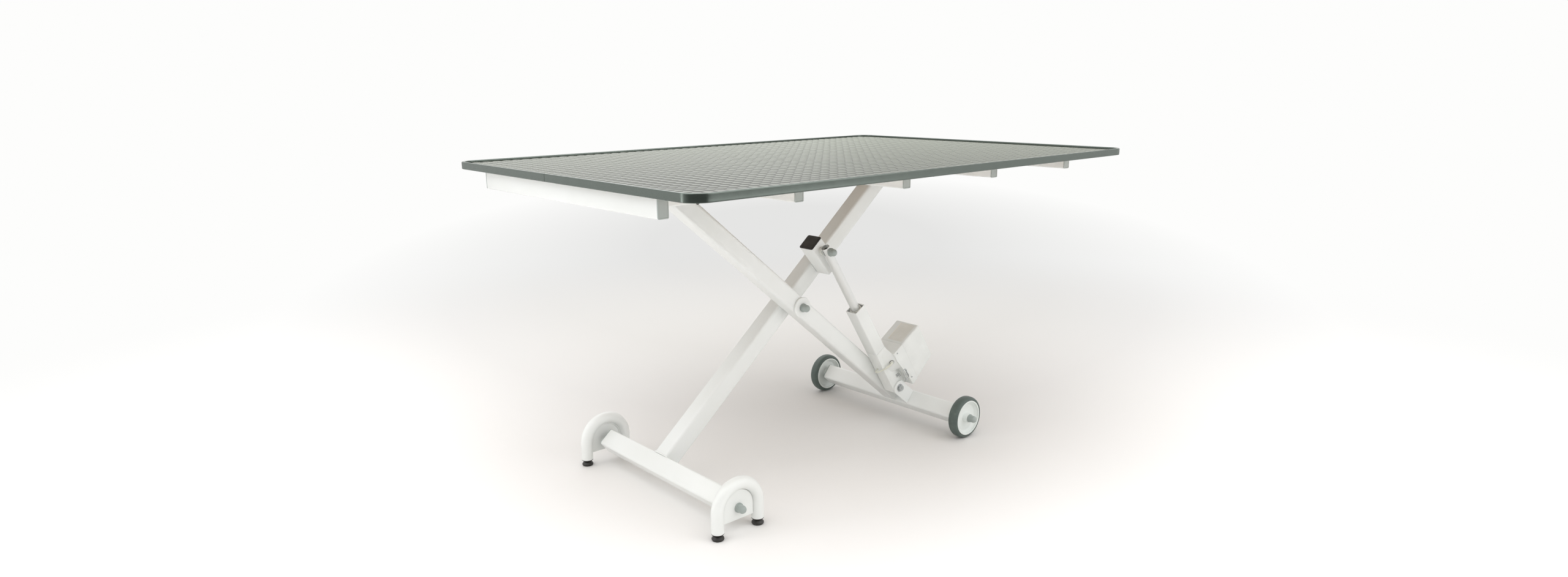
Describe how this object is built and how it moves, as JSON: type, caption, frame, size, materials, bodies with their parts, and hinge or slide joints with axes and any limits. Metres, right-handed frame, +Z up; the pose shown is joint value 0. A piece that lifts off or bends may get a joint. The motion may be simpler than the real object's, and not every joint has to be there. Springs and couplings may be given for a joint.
{
  "type": "height-adjustable veterinary examination table",
  "caption": "Veterinary examination table with a rubber-matted top on a scissor lift, moved by an electric spindle drive, with wheels at one end and levelling feet at the other.",
  "frame": {"origin": "on the floor, under the middle of the tabletop", "axes": "+X along the top towards the wheel end, +Y across it away from the drive's side, +Z up"},
  "size_m": [1.5, 1, 0.8116],
  "materials": {
    "white_enamel": "smooth white stoved enamel, semi-gloss",
    "slate_plastic": "extruded slate-grey edge strip with fine ribs across its face",
    "grey_rubber": "matt grey rubber mat with raised lens-shaped studs",
    "laminate": "plain faced board, seen only from below",
    "cap_grey": "light grey moulded plastic, semi-matt",
    "black_plastic": "black moulded plastic with a soft sheen",
    "wheel_white": "off-white moulded plastic",
    "tyre_rubber": "dark grey rubber, softly shining",
    "zinc": "zinc-plated and drawn steel",
    "motor_plastic": "off-white moulded plastic, finely grained",
    "lead_white": "off-white soft cable sheath",
    "nylon": "natural nylon"
  },
  "bodies": {
    "near_foot": {"foot_tube_near": "white_enamel", "foot_web_near": "white_enamel", "foot_bolt_near": "cap_grey"},
    "far_foot": {"foot_tube_far": "white_enamel", "foot_web_far": "white_enamel", "foot_bolt_far": "cap_grey"},
    "near_outer_pad": {"levelling_foot_near_outer": "black_plastic"},
    "near_inner_pad": {"levelling_foot_near_inner": "black_plastic"},
    "far_outer_pad": {"levelling_foot_far_outer": "black_plastic"},
    "far_inner_pad": {"levelling_foot_far_inner": "black_plastic"},
    "foot_frame": {"foot_arm": "white_enamel", "foot_beam": "white_enamel", "rod_bracket": "white_enamel", "rod_bracket_cap": "black_plastic", "slide_shaft": "zinc"},
    "wheel_frame": {"wheel_arm": "white_enamel", "wheel_beam": "white_enamel", "drive_ear": "white_enamel", "top_shaft": "zinc", "axle_bolt_near": "cap_grey", "axle_bolt_far": "cap_grey", "pivot_boss": "white_enamel", "pivot_bolt": "cap_grey", "drive_bolt": "zinc"},
    "near_wheel": {"tyre_near": "tyre_rubber", "wheel_near": "wheel_white"},
    "far_wheel": {"tyre_far": "tyre_rubber", "wheel_far": "wheel_white"},
    "near_roller": {"roller_near": "nylon"},
    "far_roller": {"roller_far": "nylon"},
    "tabletop": {"board": "laminate", "mat": "grey_rubber", "edge_strip": "slate_plastic", "rail_near": "white_enamel", "rail_far": "white_enamel", "beam_1": "white_enamel", "beam_2": "white_enamel", "beam_3": "white_enamel", "beam_4": "white_enamel", "beam_5": "white_enamel", "beam_cap_1_near": "cap_grey", "beam_cap_1_far": "cap_grey", "beam_cap_2_near": "cap_grey", "beam_cap_2_far": "cap_grey", "beam_cap_3_near": "cap_grey", "beam_cap_3_far": "cap_grey", "beam_cap_4_near": "cap_grey", "beam_cap_4_far": "cap_grey", "beam_cap_5_near": "cap_grey", "beam_cap_5_far": "cap_grey"},
    "drive": {"drive_tube": "white_enamel", "guide_bush": "nylon", "gearbox": "motor_plastic", "motor_base": "motor_plastic", "motor_cover": "motor_plastic", "motor_lead": "lead_white"},
    "rod_end": {"rod": "zinc", "rod_pin": "cap_grey", "pin_spacer": "nylon"},
    "catch": {"wire_catch": "zinc"}
  },
  "joints": [
    {"name": "lift", "type": "hinge", "parent": "near_foot", "child": "foot_frame", "pos_m": [-0.491, 0, 0.06], "axis": [0, -1, 0], "range_deg": [-30, 4]},
    {"name": "scissor_pivot", "type": "hinge", "parent": "foot_frame", "child": "wheel_frame", "pos_m": [-0.07182, 0, 0.41298], "axis": [0, -1, 0], "range_deg": [-8.5, 60.5]},
    {"name": "top_pivot", "type": "hinge", "parent": "wheel_frame", "child": "tabletop", "pos_m": [-0.491, 0, 0.76596], "axis": [0, -1, 0], "range_deg": [-30.5, 4.5]},
    {"name": "far_foot_pivot", "type": "hinge", "parent": "foot_frame", "child": "far_foot", "pos_m": [-0.491, 0, 0.06], "axis": [0, -1, 0], "range_deg": [-4.5, 30.5]},
    {"name": "drive_pivot", "type": "hinge", "parent": "wheel_frame", "child": "drive", "pos_m": [0.28004, 0, 0.11668], "axis": [0, -1, 0], "range_deg": [-1.6, 0.3]},
    {"name": "rod_slide", "type": "slide", "parent": "drive", "child": "rod_end", "axis": [-0.5326, 0, 0.8464], "range_m": [-0.165, 0.024]},
    {"name": "near_wheel_spin", "type": "hinge", "parent": "wheel_frame", "child": "near_wheel", "pos_m": [0.34735, -0.282, 0.06], "axis": [0, 1, 0], "continuous": true},
    {"name": "far_wheel_spin", "type": "hinge", "parent": "wheel_frame", "child": "far_wheel", "pos_m": [0.34735, 0.282, 0.06], "axis": [0, 1, 0], "continuous": true},
    {"name": "near_roller_spin", "type": "hinge", "parent": "foot_frame", "child": "near_roller", "pos_m": [0.34735, -0.188, 0.76596], "axis": [0, 1, 0], "continuous": true},
    {"name": "far_roller_spin", "type": "hinge", "parent": "foot_frame", "child": "far_roller", "pos_m": [0.34735, 0.188, 0.76596], "axis": [0, 1, 0], "continuous": true},
    {"name": "near_outer_pad_screw", "type": "hinge", "parent": "near_foot", "child": "near_outer_pad", "pos_m": [-0.5495, -0.283, 0.01], "axis": [0, 0, 1], "continuous": true},
    {"name": "near_inner_pad_screw", "type": "hinge", "parent": "near_foot", "child": "near_inner_pad", "pos_m": [-0.4325, -0.283, 0.01], "axis": [0, 0, 1], "continuous": true},
    {"name": "far_outer_pad_screw", "type": "hinge", "parent": "far_foot", "child": "far_outer_pad", "pos_m": [-0.5495, 0.283, 0.01], "axis": [0, 0, 1], "continuous": true},
    {"name": "far_inner_pad_screw", "type": "hinge", "parent": "far_foot", "child": "far_inner_pad", "pos_m": [-0.4325, 0.283, 0.01], "axis": [0, 0, 1], "continuous": true},
    {"name": "catch_swing", "type": "hinge", "parent": "drive", "child": "catch", "pos_m": [0.29007, -0.1143, 0.16553], "axis": [-0.5326, 0, 0.8464], "range_deg": [0, 100]}
  ],
  "couplings": [
    {"joint": "scissor_pivot", "follows": "lift", "ratio": -2},
    {"joint": "top_pivot", "follows": "lift", "ratio": 1},
    {"joint": "far_foot_pivot", "follows": "lift", "ratio": -1},
    {"joint": "drive_pivot", "follows": "lift", "ratio": 0.05},
    {"joint": "rod_slide", "follows": "lift", "m_per_rad": 0.31}
  ]
}
